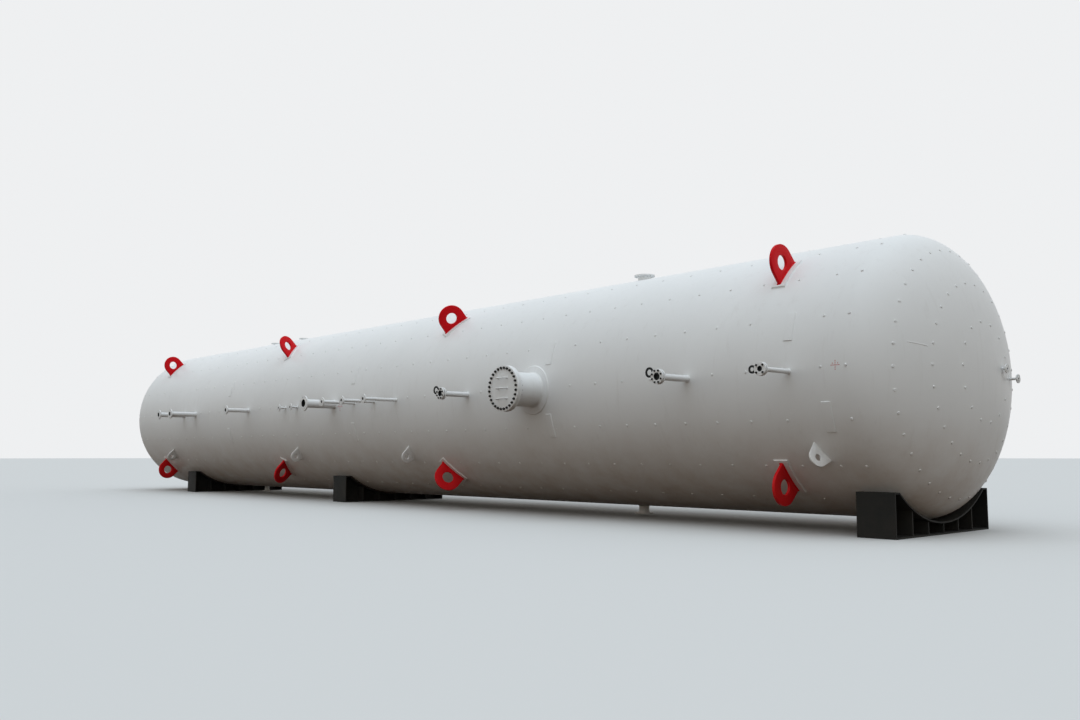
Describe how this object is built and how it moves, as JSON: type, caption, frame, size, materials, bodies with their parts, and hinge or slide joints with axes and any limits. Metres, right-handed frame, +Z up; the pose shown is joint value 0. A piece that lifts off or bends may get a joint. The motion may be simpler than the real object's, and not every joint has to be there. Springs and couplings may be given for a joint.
{
  "type": "horizontal pressure tank",
  "caption": "Long horizontal pressure tank with dished ends, a side manhole, flanged nozzles and lifting lugs, resting on transport cradles.",
  "frame": {"origin": "centre of the middle cradle's foot, on the floor, below the tank's axis", "axes": "+X along the tank towards the end with the small head nozzles, -Y towards the manhole, +Z up"},
  "size_m": [23.811, 4.3758, 3.951],
  "materials": {
    "tank_paint": "satin white paint",
    "lug_paint": "satin red paint",
    "cradle_paint": "matt black paint",
    "bare_steel": "blackened steel",
    "packing": "matt rubber sheet"
  },
  "bodies": {
    "root": {"head_rear": "tank_paint", "head_front": "tank_paint", "course_1": "tank_paint", "course_2": "tank_paint", "course_3": "tank_paint", "course_4": "tank_paint", "course_5": "tank_paint", "course_6": "tank_paint", "course_7": "tank_paint", "course_8": "tank_paint", "course_9": "tank_paint", "manhole_neck": "tank_paint", "manhole_flange": "tank_paint", "manhole_pad": "tank_paint", "manhole_cover": "tank_paint", "manhole_grab_bars": "tank_paint", "side_nozzle_1": "tank_paint", "side_nozzle_2": "tank_paint", "side_nozzle_3": "tank_paint", "side_nozzle_4": "tank_paint", "side_nozzle_5": "tank_paint", "side_nozzle_6": "tank_paint", "side_nozzle_7": "tank_paint", "side_nozzle_8": "tank_paint", "side_nozzle_9": "tank_paint", "side_nozzle_10": "tank_paint", "short_couplings": "tank_paint", "companion_flanges": "tank_paint", "top_nozzles": "tank_paint", "bottom_nozzles": "tank_paint", "head_nozzles": "tank_paint", "lug_pads_near": "tank_paint", "lug_pads_far": "tank_paint", "lashing_lugs_near": "tank_paint", "lashing_lugs_far": "tank_paint", "platform_pads": "tank_paint", "spectacle_blanks": "bare_steel", "lifting_lugs_upper_near": "lug_paint", "lifting_lugs_upper_far": "lug_paint", "lifting_lugs_lower_near": "lug_paint", "lifting_lugs_lower_far": "lug_paint", "cradle_rear": "cradle_paint", "cradle_middle": "cradle_paint", "cradle_front": "cradle_paint", "cradle_packings": "packing"}
  },
  "joints": []
}
